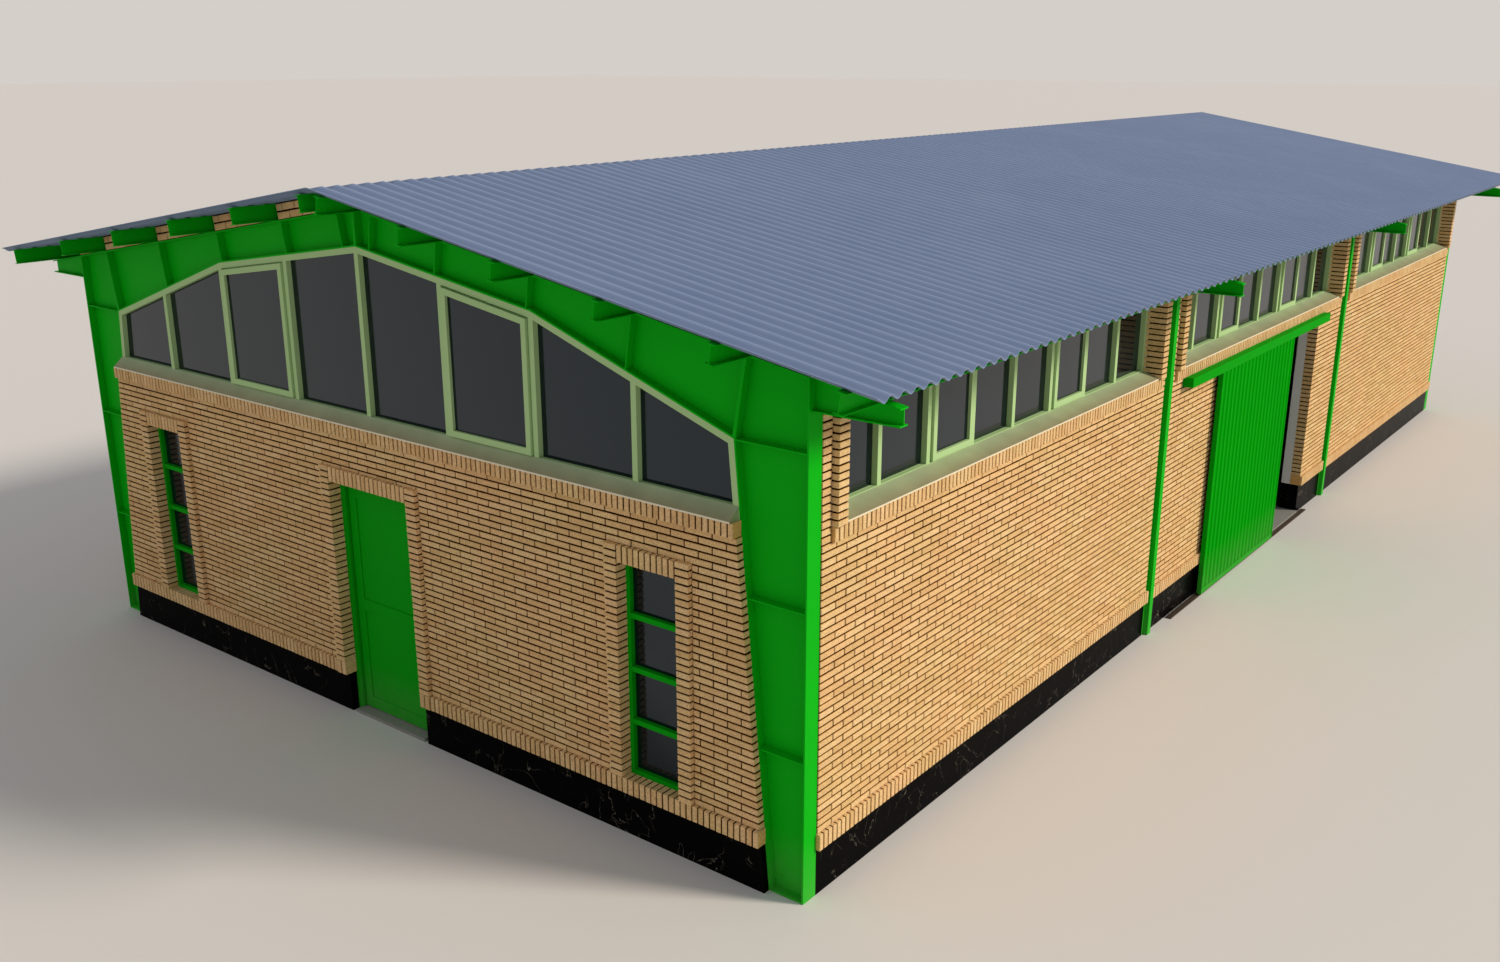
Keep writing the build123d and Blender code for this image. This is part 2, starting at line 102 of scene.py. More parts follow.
# Wire-cut clay facing brick: fired clay and sand, so a warm ochre that shifts from brick to brick,
# dull all over, with fine open pits
brickLook = {
    "tones": ((0.0, "#DDB57F"), (0.35, "#E5BD88"), (0.7, "#E9C38E"), (0.9, "#EDC997"), (1.0, "#E2BB88")),
    "tinges": ((0.35, "#FFFAF5"), (0.65, "#FCFFF7")), "tingeSize": 0.6,
    "unshadedFace": "#FFFFFF",
    "stain": "#FFDD8C",  # painted warm shade: the faces that look up or down, into the bed joints, are darkened browner to stand for the shade in the raked joints
    "cloudSize": 0.07, "cloudDark": 0.93, "cloudLight": 1.04,
    "gritSize": 0.013,  # really 1 to 2 mm, drawn coarser so that it shows
    "pitLow": 0.3, "pitHigh": 0.62, "pitDark": 0.68, "pitLight": 1.06, "bump": 0.5, "bumpDepth": 0.002,
    "roughness": 0.88, "specular": 0.1,
}


def facingBrick(look):
    material, tree, shader, place = startMaterial("wireCutClayBrick", look)
    tint = addNode(tree, "ShaderNodeAttribute", attribute_name="tint").outputs["Fac"]
    tone = addNode(tree, "ShaderNodeValToRGB", {"Fac": tint})
    setRamp(tone, look["tones"])
    cloud = addNode(tree, "ShaderNodeTexNoise",
                    {"Vector": place, "Scale": 1 / look["cloudSize"], "Detail": 3.0})
    grit = addNode(tree, "ShaderNodeTexNoise",
                   {"Vector": place, "Scale": 1 / look["gritSize"], "Detail": 2.0, "Roughness": 0.6})
    shade = addNode(tree, "ShaderNodeMapRange",
                    {"Value": cloud, **noiseSpread, "To Min": look["cloudDark"],
                     "To Max": look["cloudLight"]})
    pits = addNode(tree, "ShaderNodeMapRange",
                   {"Value": grit, "From Min": look["pitLow"], "From Max": look["pitHigh"],
                    "To Min": look["pitDark"], "To Max": look["pitLight"]})
    both = addNode(tree, "ShaderNodeMath", {0: shade, 1: pits}, operation="MULTIPLY")
    colour = addNode(tree, "ShaderNodeVectorMath", {0: tone, "Scale": both}, operation="SCALE")
    patch = addNode(tree, "ShaderNodeTexNoise",
                    {"Vector": place, "Scale": 1 / look["tingeSize"], "Detail": 2.0})
    tinge = addNode(tree, "ShaderNodeValToRGB", {"Fac": patch})
    setRamp(tinge, look["tinges"])
    tinged = addNode(tree, "ShaderNodeVectorMath", {0: colour, 1: tinge}, operation="MULTIPLY")
    # Painted warm shade: the faces marked 'bed' take the stain colour, which stands for the shade in the
    # raked bed joints
    bed = addNode(tree, "ShaderNodeAttribute", attribute_name="bed").outputs["Fac"]
    stain = addNode(tree, "ShaderNodeMix",
                    {0: bed, 6: linear(look["unshadedFace"]), 7: linear(look["stain"])}, data_type="RGBA")
    stained = addNode(tree, "ShaderNodeVectorMath", {0: tinged, 1: stain}, operation="MULTIPLY")
    bump = addNode(tree, "ShaderNodeBump",
                   {"Height": grit, "Strength": look["bump"], "Distance": look["bumpDepth"]})
    setInputs(tree, shader, {"Base Color": stained, "Normal": bump})
    return material


# Cement mortar outside, raked back, dark with shade and brick dust;
# steel-trowelled lime plaster inside, grey with faint sweeps of the trowel
coreLook = {
    "mortar": "#1A0B02", "plaster": "#ECEBE6", "sweep": "#DDDCD6",
    "insideX": 4.39, "insideY": 9.03, "sweepSize": 0.6,
    "sandSize": 0.006,  # sand is about 1 mm, drawn coarser so that it shows
    "bump": 0.4, "bumpDepth": 0.002, "roughness": 0.9, "specular": 0.04,
}


def mortarAndPlaster(look):
    material, tree, shader, place = startMaterial("mortarAndLimePlaster", look)
    spot = addNode(tree, "ShaderNodeSeparateXYZ", {0: place})
    sides = []
    for axis, limit in (("X", look["insideX"]), ("Y", look["insideY"])):
        away = addNode(tree, "ShaderNodeMath", {0: spot.outputs[axis]}, operation="ABSOLUTE")
        sides.append(addNode(tree, "ShaderNodeMath", {0: away, 1: limit}, operation="LESS_THAN"))
    inside = addNode(tree, "ShaderNodeMath", {0: sides[0], 1: sides[1]}, operation="MULTIPLY")
    sweep = addNode(tree, "ShaderNodeTexNoise",
                    {"Vector": place, "Scale": 1 / look["sweepSize"], "Detail": 4.0, "Distortion": 0.6})
    sand = addNode(tree, "ShaderNodeTexNoise",
                   {"Vector": place, "Scale": 1 / look["sandSize"], "Detail": 2.0})
    plaster = addNode(tree, "ShaderNodeMix",
                      {0: sweep, 6: linear(look["plaster"]), 7: linear(look["sweep"])}, data_type="RGBA")
    colour = addNode(tree, "ShaderNodeMix",
                     {0: inside, 6: linear(look["mortar"]), 7: plaster}, data_type="RGBA")
    bump = addNode(tree, "ShaderNodeBump",
                   {"Height": sand, "Strength": look["bump"], "Distance": look["bumpDepth"]})
    setInputs(tree, shader, {"Base Color": colour, "Normal": bump})
    return material


# Alkyd enamel sprayed on rolled steel: an even gloss film with a soft orange peel,
# a little drift in depth of colour, and dust that settles low down
steelEnamel = {"name": "greenAlkydEnamel", "colour": "#0BB617", "deep": "#0AAA14", "roughness": 0.42,
               "specular": 0.03}
joineryEnamel = {"name": "brightGreenEnamel", "colour": "#0AA513", "deep": "#089A10", "roughness": 0.45,
                 "specular": 0.03}
gateEnamel = {"name": "greenGateEnamel", "colour": "#089F0E", "deep": "#07940C", "roughness": 0.42,
              "specular": 0.006}
frameEnamel = {"name": "paleGreenEnamel", "colour": "#B6D498", "deep": "#AACA8B", "roughness": 0.45,
               "specular": 0.03}
enamelFilm = {
    "driftSize": 0.9,
    "peelSize": 0.012,  # orange peel is 2 to 4 mm, drawn coarser so that it shows
    "dust": "#9C927F", "dustHeight": 0.5, "dustShare": 0.22, "dustSize": 0.12,
    "smoother": 0.06, "duller": 0.08, "bump": 0.12, "bumpDepth": 0.001,
}


def paintedSteel(look, film):
    material, tree, shader, place = startMaterial(look["name"], look)
    drift = addNode(tree, "ShaderNodeTexNoise",
                    {"Vector": place, "Scale": 1 / film["driftSize"], "Detail": 3.0})
    peel = addNode(tree, "ShaderNodeTexNoise",
                   {"Vector": place, "Scale": 1 / film["peelSize"], "Detail": 1.0})
    specks = addNode(tree, "ShaderNodeTexNoise",
                     {"Vector": place, "Scale": 1 / film["dustSize"], "Detail": 5.0})
    paint = addNode(tree, "ShaderNodeMix",
                    {0: drift, 6: linear(look["colour"]), 7: linear(look["deep"])}, data_type="RGBA")
    spot = addNode(tree, "ShaderNodeSeparateXYZ", {0: place})
    low = addNode(tree, "ShaderNodeMapRange",
                  {"Value": spot.outputs["Z"], "From Min": 0.0, "From Max": film["dustHeight"],
                   "To Min": film["dustShare"], "To Max": 0.0})
    dusty = addNode(tree, "ShaderNodeMath", {0: low, 1: specks}, operation="MULTIPLY")
    colour = addNode(tree, "ShaderNodeMix", {0: dusty, 6: paint, 7: linear(film["dust"])}, data_type="RGBA")
    gloss = addNode(tree, "ShaderNodeMapRange",
                    {"Value": specks, **noiseSpread, "To Min": look["roughness"] - film["smoother"],
                     "To Max": look["roughness"] + film["duller"]})
    bump = addNode(tree, "ShaderNodeBump",
                   {"Height": peel, "Strength": film["bump"], "Distance": film["bumpDepth"]})
    setInputs(tree, shader, {"Base Color": colour, "Roughness": gloss, "Normal": bump})
    return material


# Float glass: fire-polished, so it mirrors the pale surroundings faintly; its dark, faintly blue base colour
# is painted shade for the dark hall behind it, and the faint blue tint on its mirror is a painted sky
# reflection; thin dust dulls it in patches
glassLook = {"colour": "#0E171E", "paintedSkyBlue": "#DCF1FF", "roughness": 0.05, "ior": 1.52, "transmission": 0.25,
             "specular": 0.53, "dustSize": 0.7, "dustLow": 0.35, "dustHigh": 0.75, "dustRoughness": 0.16}


def paintedDarkGlass(look):
    material, tree, shader, place = startMaterial("floatGlassPaintedDark", look)
    film = addNode(tree, "ShaderNodeTexNoise",
                   {"Vector": place, "Scale": 1 / look["dustSize"], "Detail": 4.0})
    haze = addNode(tree, "ShaderNodeMapRange",
                   {"Value": film, "From Min": look["dustLow"], "From Max": look["dustHigh"],
                    "To Min": look["roughness"], "To Max": look["dustRoughness"]})
    # Painted shade and reflection: a dark base colour and a blue tint on the mirror
    setInputs(tree, shader, {"Base Color": linear(look["colour"]), "Specular Tint": linear(look["paintedSkyBlue"]),
                             "Roughness": haze})
    return material


# Polished black marble: honed and waxed, nearly black with thin broken calcite veins
marbleLook = {"base": "#040404", "cloud": "#0C0B0B", "vein": "#6E675A", "roughness": 0.24, "ior": 1.49,
              "specular": 0.012, "cloudSize": 0.35, "veinSize": 0.4, "veinWidth": 0.004,
              "breakSize": 0.2, "breakLow": 0.45, "breakHigh": 0.58}


def blackMarble(look):
    material, tree, shader, place = startMaterial("polishedBlackMarble", look)
    cloud = addNode(tree, "ShaderNodeTexNoise",
                    {"Vector": place, "Scale": 1 / look["cloudSize"], "Detail": 5.0})
    run = addNode(tree, "ShaderNodeTexNoise",
                  {"Vector": place, "Scale": 1 / look["veinSize"], "Detail": 4.0, "Distortion": 1.4})
    gaps = addNode(tree, "ShaderNodeTexNoise", {"Vector": place, "Scale": 1 / look["breakSize"]})
    middle = addNode(tree, "ShaderNodeMath", {0: run, 1: noiseMiddle}, operation="SUBTRACT")
    away = addNode(tree, "ShaderNodeMath", {0: middle}, operation="ABSOLUTE")
    line = addNode(tree, "ShaderNodeMapRange",
                   {"Value": away, "From Min": 0.0, "From Max": look["veinWidth"],
                    "To Min": 1.0, "To Max": 0.0})
    shown = addNode(tree, "ShaderNodeMapRange",
                    {"Value": gaps, "From Min": look["breakLow"], "From Max": look["breakHigh"]})
    vein = addNode(tree, "ShaderNodeMath", {0: line, 1: shown}, operation="MULTIPLY")
    base = addNode(tree, "ShaderNodeMix",
                   {0: cloud, 6: linear(look["base"]), 7: linear(look["cloud"])}, data_type="RGBA")
    colour = addNode(tree, "ShaderNodeMix", {0: vein, 6: base, 7: linear(look["vein"])}, data_type="RGBA")
    setInputs(tree, shader, {"Base Color": colour})
    return material


# Sawn limestone: grey-brown, with a painted green reflection of the window frames at the back under the
# window that fades out towards the nose, pale cream along the cut nose
sillLook = {"reflectedGreen": "#A6B68A", "bareStone": "#978F69", "nose": "#E6DCBE", "stainSize": 0.25, "stainDepth": 0.1,
            "backX": 4.37, "noseX": 4.533, "backY": 9.075, "noseY": 9.176, "grainSize": 0.01,
            "bump": 0.2, "bumpDepth": 0.001, "roughness": 0.6, "ior": 1.55}


def sawnLimestone(look):
    material, tree, shader, place = startMaterial("sawnLimestone", look)
    stain = addNode(tree, "ShaderNodeTexNoise",
                    {"Vector": place, "Scale": 1 / look["stainSize"], "Detail": 5.0})
    grain = addNode(tree, "ShaderNodeTexNoise", {"Vector": place, "Scale": 1 / look["grainSize"]})
    spot = addNode(tree, "ShaderNodeSeparateXYZ", {0: place})
    noses, reaches = [], []
    for axis, back, limit in (("X", look["backX"], look["noseX"]), ("Y", look["backY"], look["noseY"])):
        away = addNode(tree, "ShaderNodeMath", {0: spot.outputs[axis]}, operation="ABSOLUTE")
        noses.append(addNode(tree, "ShaderNodeMath", {0: away, 1: limit}, operation="GREATER_THAN"))
        reaches.append(addNode(tree, "ShaderNodeMapRange",
                               {"Value": away, "From Min": back, "From Max": limit}))
    nose = addNode(tree, "ShaderNodeMath", {0: noses[0], 1: noses[1]}, operation="MAXIMUM")
    out = addNode(tree, "ShaderNodeMath", {0: reaches[0], 1: reaches[1]}, operation="MAXIMUM")
    # Painted reflection: the green of the frames at the back, fading to the bare stone further out
    top = addNode(tree, "ShaderNodeMix",
                  {0: out, 6: linear(look["reflectedGreen"]), 7: linear(look["bareStone"])}, data_type="RGBA")
    shade = addNode(tree, "ShaderNodeMapRange",
                    {"Value": stain, **noiseSpread, "To Min": 1 - look["stainDepth"],
                     "To Max": 1 + look["stainDepth"]})
    stained = addNode(tree, "ShaderNodeVectorMath", {0: top, "Scale": shade}, operation="SCALE")
    colour = addNode(tree, "ShaderNodeMix", {0: nose, 6: stained, 7: linear(look["nose"])}, data_type="RGBA")
    bump = addNode(tree, "ShaderNodeBump",
                   {"Height": grain, "Strength": look["bump"], "Distance": look["bumpDepth"]})
    setInputs(tree, shader, {"Base Color": colour, "Normal": bump})
    return material


# Coil-coated corrugated steel sheet: a blue-grey satin paint baked on, chalky with age,
# with faint streaks where rain runs down each wave
sheetLook = {"colour": "#7A8AA9", "chalk": "#8493AF", "chalkLow": 0.1, "chalkHigh": 0.45,
             "streakSize": 0.05, "streakStretch": 0.03, "patchSize": 1.8, "roughness": 0.5,
             "smoother": 0.05, "duller": 0.08, "specular": 0.08}


def coatedSheet(look):
    material, tree, shader, place = startMaterial("coatedRoofSheet", look)
    along = addNode(tree, "ShaderNodeMapping",
                    {"Vector": place, "Scale": (look["streakStretch"], 1.0, 1.0)})
    streak = addNode(tree, "ShaderNodeTexNoise",
                     {"Vector": along, "Scale": 1 / look["streakSize"], "Detail": 3.0})
    patch = addNode(tree, "ShaderNodeTexNoise",
                    {"Vector": place, "Scale": 1 / look["patchSize"], "Detail": 4.0})
    both = addNode(tree, "ShaderNodeMath", {0: streak, 1: patch}, operation="MULTIPLY")
    share = addNode(tree, "ShaderNodeMapRange",
                    {"Value": both, "From Min": look["chalkLow"], "From Max": look["chalkHigh"]})
    colour = addNode(tree, "ShaderNodeMix",
                     {0: share, 6: linear(look["colour"]), 7: linear(look["chalk"])}, data_type="RGBA")
    gloss = addNode(tree, "ShaderNodeMapRange",
                    {"Value": patch, **noiseSpread, "To Min": look["roughness"] - look["smoother"],
                     "To Max": look["roughness"] + look["duller"]})
    setInputs(tree, shader, {"Base Color": colour, "Roughness": gloss})
    return material


# Power-floated concrete: grey with broad clouds and dull sheen
concreteLook = {"colour": "#9A978F", "cloud": "#7F7D76", "cloudSize": 0.8, "grainSize": 0.012,
                "bump": 0.2, "bumpDepth": 0.001, "roughness": 0.7}


def floatedConcrete(look):
    material, tree, shader, place = startMaterial("floatedConcrete", look)
    cloud = addNode(tree, "ShaderNodeTexNoise",
                    {"Vector": place, "Scale": 1 / look["cloudSize"], "Detail": 6.0})
    grain = addNode(tree, "ShaderNodeTexNoise", {"Vector": place, "Scale": 1 / look["grainSize"]})
    colour = addNode(tree, "ShaderNodeMix",
                     {0: cloud, 6: linear(look["colour"]), 7: linear(look["cloud"])}, data_type="RGBA")
    bump = addNode(tree, "ShaderNodeBump",
                   {"Height": grain, "Strength": look["bump"], "Distance": look["bumpDepth"]})
    setInputs(tree, shader, {"Base Color": colour, "Normal": bump})
    return material


# Rolled steel strip, bare: dark mill scale with rust, worn dull
stripLook = {"colour": "#5B554B", "rust": "#5A4334", "rustSize": 0.09, "roughness": 0.55, "metallic": 0.6}


def wornStrip(look):
    material, tree, shader, place = startMaterial("rolledSteelStrip", look)
    rust = addNode(tree, "ShaderNodeTexNoise",
                   {"Vector": place, "Scale": 1 / look["rustSize"], "Detail": 6.0})
    colour = addNode(tree, "ShaderNodeMix",
                     {0: rust, 6: linear(look["colour"]), 7: linear(look["rust"])}, data_type="RGBA")
    setInputs(tree, shader, {"Base Color": colour})
    return material


brick = facingBrick(brickLook)
core = mortarAndPlaster(coreLook)
steel = paintedSteel(steelEnamel, enamelFilm)
joinery = paintedSteel(joineryEnamel, enamelFilm)
gatePaint = paintedSteel(gateEnamel, enamelFilm)
framePaint = paintedSteel(frameEnamel, enamelFilm)
glass = paintedDarkGlass(glassLook)
marble = blackMarble(marbleLook)
limestone = sawnLimestone(sillLook)
sheetPaint = coatedSheet(sheetLook)
concrete = floatedConcrete(concreteLook)
strip = wornStrip(stripLook)

finishes = {
    "green_steel": steel, "brick": core, "roof_sheet": sheetPaint, "black_stone": marble,
    "sill": limestone, "window_frame": framePaint, "glass": glass, "green_joinery": joinery,
    "green_gate": gatePaint, "guide_steel": strip, "concrete": concrete,
}
for row in frame["record"]["subparts"]:
    mesh = nodes[row["node"]].data
    mesh.materials.clear()
    mesh.materials.append(finishes[row["material_slot"]])
print("materials set:", len(finishes))


# What the modifiers give becomes the plain mesh, and the modifiers go
def settle(piece):
    old = piece.data
    graph = bpy.context.evaluated_depsgraph_get()
    piece.data = bpy.data.meshes.new_from_object(piece.evaluated_get(graph), preserve_all_data_layers=True,
                                                 depsgraph=graph)
    piece.modifiers.clear()
    bpy.data.meshes.remove(old)


def growPiece(name, mesh, tree, values):
    piece = bpy.data.objects.new(name, mesh)
    scene.collection.objects.link(piece)
    modifier = piece.modifiers.new("grow", "NODES")
    modifier.node_group = tree
    for item in tree.interface.items_tree:
        if item.in_out == "INPUT" and item.name in values:
            modifier[item.identifier] = values[item.name]
    settle(piece)
    for extra in ("turn", "span"):
        if extra in piece.data.attributes:
            piece.data.attributes.remove(piece.data.attributes[extra])
    return piece


def startTree(name, inputs):
    tree = bpy.data.node_groups.new(name, "GeometryNodeTree")
    tree.interface.new_socket("Geometry", in_out="INPUT", socket_type="NodeSocketGeometry")
    for label, kind in inputs:
        tree.interface.new_socket(label, in_out="INPUT", socket_type="NodeSocket" + kind)
    tree.interface.new_socket("Geometry", in_out="OUTPUT", socket_type="NodeSocketGeometry")
    return tree, addNode(tree, "NodeGroupInput").outputs


def endTree(tree, geometry, material):
    real = addNode(tree, "GeometryNodeRealizeInstances", {"Geometry": geometry})
    painted = addNode(tree, "GeometryNodeSetMaterial", {"Geometry": real, "Material": material})
    addNode(tree, "NodeGroupOutput", {0: painted})


# One brick with a chamfered front, set on every point with that point's turn and span
def brickTree():
    tree, given = startTree("brickwork", (
        ("Length", "Float"), ("Height", "Float"), ("Depth", "Float"), ("Chamfer", "Float"),
        ("Wobble", "Float"), ("Shift", "Float"), ("BedShade", "Float"), ("Seed", "Int"),
        ("Material", "Material")))
    facingFront, facingUp = 0.5, 0.9  # how squarely a face has to look forwards, or up or down
    body = addNode(tree, "ShaderNodeMath", {0: given["Depth"], 1: given["Chamfer"]}, operation="SUBTRACT")
    size = addNode(tree, "ShaderNodeCombineXYZ", {"X": given["Length"], "Y": body, "Z": given["Height"]})
    block = addNode(tree, "GeometryNodeMeshCube", {"Size": size})
    total = addNode(tree, "ShaderNodeMath", {0: given["Depth"], 1: given["Chamfer"]}, operation="ADD")
    half = addNode(tree, "ShaderNodeMath", {0: total, 1: 2.0}, operation="DIVIDE")
    back = addNode(tree, "ShaderNodeCombineXYZ", {"Y": half})
    behind = addNode(tree, "GeometryNodeTransform", {"Geometry": block, "Translation": back})
    normal = addNode(tree, "GeometryNodeInputNormal")
    facing = addNode(tree, "ShaderNodeVectorMath", {0: normal, 1: (0.0, -1.0, 0.0)}, operation="DOT_PRODUCT")
    front = addNode(tree, "ShaderNodeMath", {0: facing, 1: facingFront}, operation="GREATER_THAN")
    pushed = addNode(tree, "GeometryNodeExtrudeMesh",
                     {"Mesh": behind, "Selection": front, "Offset Scale": given["Chamfer"]})
    shape = pushed
    for side, axis in (("Length", (1.0, 0.0, 0.0)), ("Height", (0.0, 0.0, 1.0))):
        part = addNode(tree, "ShaderNodeMath", {0: given["Chamfer"], 1: given[side]}, operation="DIVIDE")
        kept = addNode(tree, "ShaderNodeMath", {0: part, 1: -2.0, 2: 1.0}, operation="MULTIPLY_ADD")
        shape = addNode(tree, "GeometryNodeScaleElements",
                        {"Geometry": shape, "Selection": pushed.outputs["Top"], "Scale": kept, "Axis": axis},
                        domain="FACE", scale_mode="SINGLE_AXIS")
    # Painted shade: faces that look up or down carry the Stain share as 'bed', and the brick material turns
    # it into a browner painted shade
    upright = addNode(tree, "ShaderNodeSeparateXYZ", {0: normal})
    level = addNode(tree, "ShaderNodeMath", {0: upright.outputs["Z"]}, operation="ABSOLUTE")
    bed = addNode(tree, "ShaderNodeMath", {0: level, 1: facingUp}, operation="GREATER_THAN")
    stain = addNode(tree, "ShaderNodeMath", {0: bed, 1: given["BedShade"]}, operation="MULTIPLY")
    marked = addNode(tree, "GeometryNodeStoreNamedAttribute",
                     {"Geometry": shape, "Name": "bed", "Value": stain}, data_type="FLOAT", domain="FACE")
    randoms = []
    for number, amount in enumerate(("Shift", "Wobble")):
        seed = addNode(tree, "ShaderNodeMath", {0: given["Seed"], 1: float(number)}, operation="ADD")
        least = addNode(tree, "ShaderNodeMath", {0: given[amount], 1: -1.0}, operation="MULTIPLY")
        randoms.append(addNode(tree, "FunctionNodeRandomValue",
                               {0: least, 1: given[amount], "Seed": seed}, data_type="FLOAT_VECTOR"))
    shaken = addNode(tree, "GeometryNodeSetPosition", {"Geometry": given["Geometry"], "Offset": randoms[0]})
    turn = addNode(tree, "GeometryNodeInputNamedAttribute", {"Name": "turn"}, data_type="FLOAT_VECTOR")
    span = addNode(tree, "GeometryNodeInputNamedAttribute", {"Name": "span"}, data_type="FLOAT_VECTOR")
    leaning = addNode(tree, "ShaderNodeVectorMath", {0: turn, 1: randoms[1]}, operation="ADD")
    laid = addNode(tree, "GeometryNodeInstanceOnPoints",
                   {"Points": shaken, "Instance": marked, "Rotation": leaning, "Scale": span})
    shade = addNode(tree, "FunctionNodeRandomValue", {"Seed": given["Seed"]}, data_type="FLOAT")
    tinted = addNode(tree, "GeometryNodeStoreNamedAttribute",
                     {"Geometry": laid, "Name": "tint", "Value": shade},
                     data_type="FLOAT", domain="INSTANCE")
    endTree(tree, tinted, given["Material"])
    return tree


# Sizes in metres, read off the photograph: 39 courses between the two bands
brickwork = {
    "length": 0.238, "height": 0.0412, "joint": 0.012, "bed": 0.014, "chamfer": 0.003, "proud": 0.010,
    # The band and surround shares set how much painted bed-face shade those bricks take
    "shortest": 0.06, "wobble": 0.004, "shift": 0.0009, "seed": 11, "bandBedShade": 0.5, "surroundBedShade": 0.2,
    "firstCourse": 0.492, "lastCourse": 2.645, "courses": 39,
    "bandFoot": 0.372, "bandTop": 2.75, "bandHeight": 0.12, "edgePitch": 0.0555, "topLap": 0.004,
    "footLap": 0.001, "flatDepth": 0.018,
}
courseHeight = (brickwork["lastCourse"] - brickwork["firstCourse"]) / brickwork["courses"]
bondPitch = brickwork["length"] + brickwork["joint"]
bricksTree = brickTree()


def addBrick(points, angle, face, u, z, length, height, tilt=0.0, stretch=1.0):
    x = cos(angle) * u + sin(angle) * face
    y = sin(angle) * u - cos(angle) * face
    points.append(((x, y, z), (0.0, tilt, angle), (length, stretch, height)))


def cutSpans(low, high, gaps):
    spans = [(low, high)]
    for start, end in gaps:
        sides = [side for a, b in spans for side in ((a, min(b, start)), (max(a, end), b))]
        spans = [(a, b) for a, b in sides if b - a > brickwork["joint"]]
    return spans


# One course between two ends, on the bond's grid; a bit too short to lay goes with its neighbour
def layCourse(low, high, number):
    shift = bondPitch / 2 * (number % 2)
    lines = [shift + bondPitch * n for n in range(floor(low / bondPitch) - 1, ceil(high / bondPitch) + 1)]
    inner = [line for line in lines if low + brickwork["shortest"] < line < high - brickwork["shortest"]]
    cuts = [low] + inner + [high]
    return list(zip(cuts, cuts[1:]))


# Bricks on edge; the one at an open end reaches back further
def layEdgeRow(points, angle, face, foot, top, low, high, stretch=1.0, lowEnd=0.0, highEnd=0.0):
    count = max(1, round((high - low) / brickwork["edgePitch"]))
    step = (high - low + brickwork["bed"]) / count
    for number in range(count):
        deep = max(stretch, lowEnd if number == 0 else 0.0, highEnd if number == count - 1 else 0.0)
        addBrick(points, angle, face, low + step * (number + 0.5) - brickwork["bed"] / 2,
                 (foot + top) / 2, top - foot, step - brickwork["bed"], pi / 2, deep)


def layStack(points, angle, face, low, high, foot, top, count, stretch=1.0):
    rise = (top - foot) / count
    for number in range(count):
        addBrick(points, angle, face, (low + high) / 2, foot + rise * (number + 0.5), high - low,
                 rise - brickwork["bed"], 0.0, stretch)


# Where bricks stand on edge their bed faces can show at an open end, so these take a smaller stain, the
# share of painted bed-face shade
def makeBrickwork(name, points, length, height, depth, stain=1.0):
    mesh = bpy.data.meshes.new(name)
    mesh.from_pydata([point for point, turn, span in points], [], [])
    turns = mesh.attributes.new("turn", "FLOAT_VECTOR", "POINT")
    turns.data.foreach_set("vector", [value for point, turn, span in points for value in turn])
    spans = mesh.attributes.new("span", "FLOAT_VECTOR", "POINT")
    spans.data.foreach_set("vector", [value for point, turn, span in points
                                      for value in (span[0] / length, span[1], span[2] / height)])
    piece = growPiece(name, mesh, bricksTree, {
        "Length": length, "Height": height, "Depth": depth, "Chamfer": brickwork["chamfer"],
        "Wobble": brickwork["wobble"], "Shift": brickwork["shift"], "BedShade": stain,
        "Seed": brickwork["seed"], "Material": brick})
    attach(piece, "building")
    print(name, len(points), "bricks")


gable = {
    "face": 9.13, "bandProud": 0.032, "surroundProud": 0.04, "surroundWidth": 0.105, "overlap": 0.003,
    "windowX": 3.16, "windowHalf": 0.29, "windowHead": 2.25, "windowTop": 2.37, "windowCourses": 34,
    "doorHalf": 0.525, "doorHead": 2.22, "doorTop": 2.34, "doorCourses": 33,
    "endDepth": 0.065, "bandDepth": 0.046, "bandEndShare": 2.1, "jambDepth": 0.11, "jambLap": 0.008,
    "doorJambShare": 1.09, "sillShare": 0.93, "columnFoot": 4.2, "columnTaper": 0.09366,
}


# The corner columns widen upwards, so the courses between them get shorter
def columnEdge(z):
    return gable["columnFoot"] - gable["columnTaper"] * z


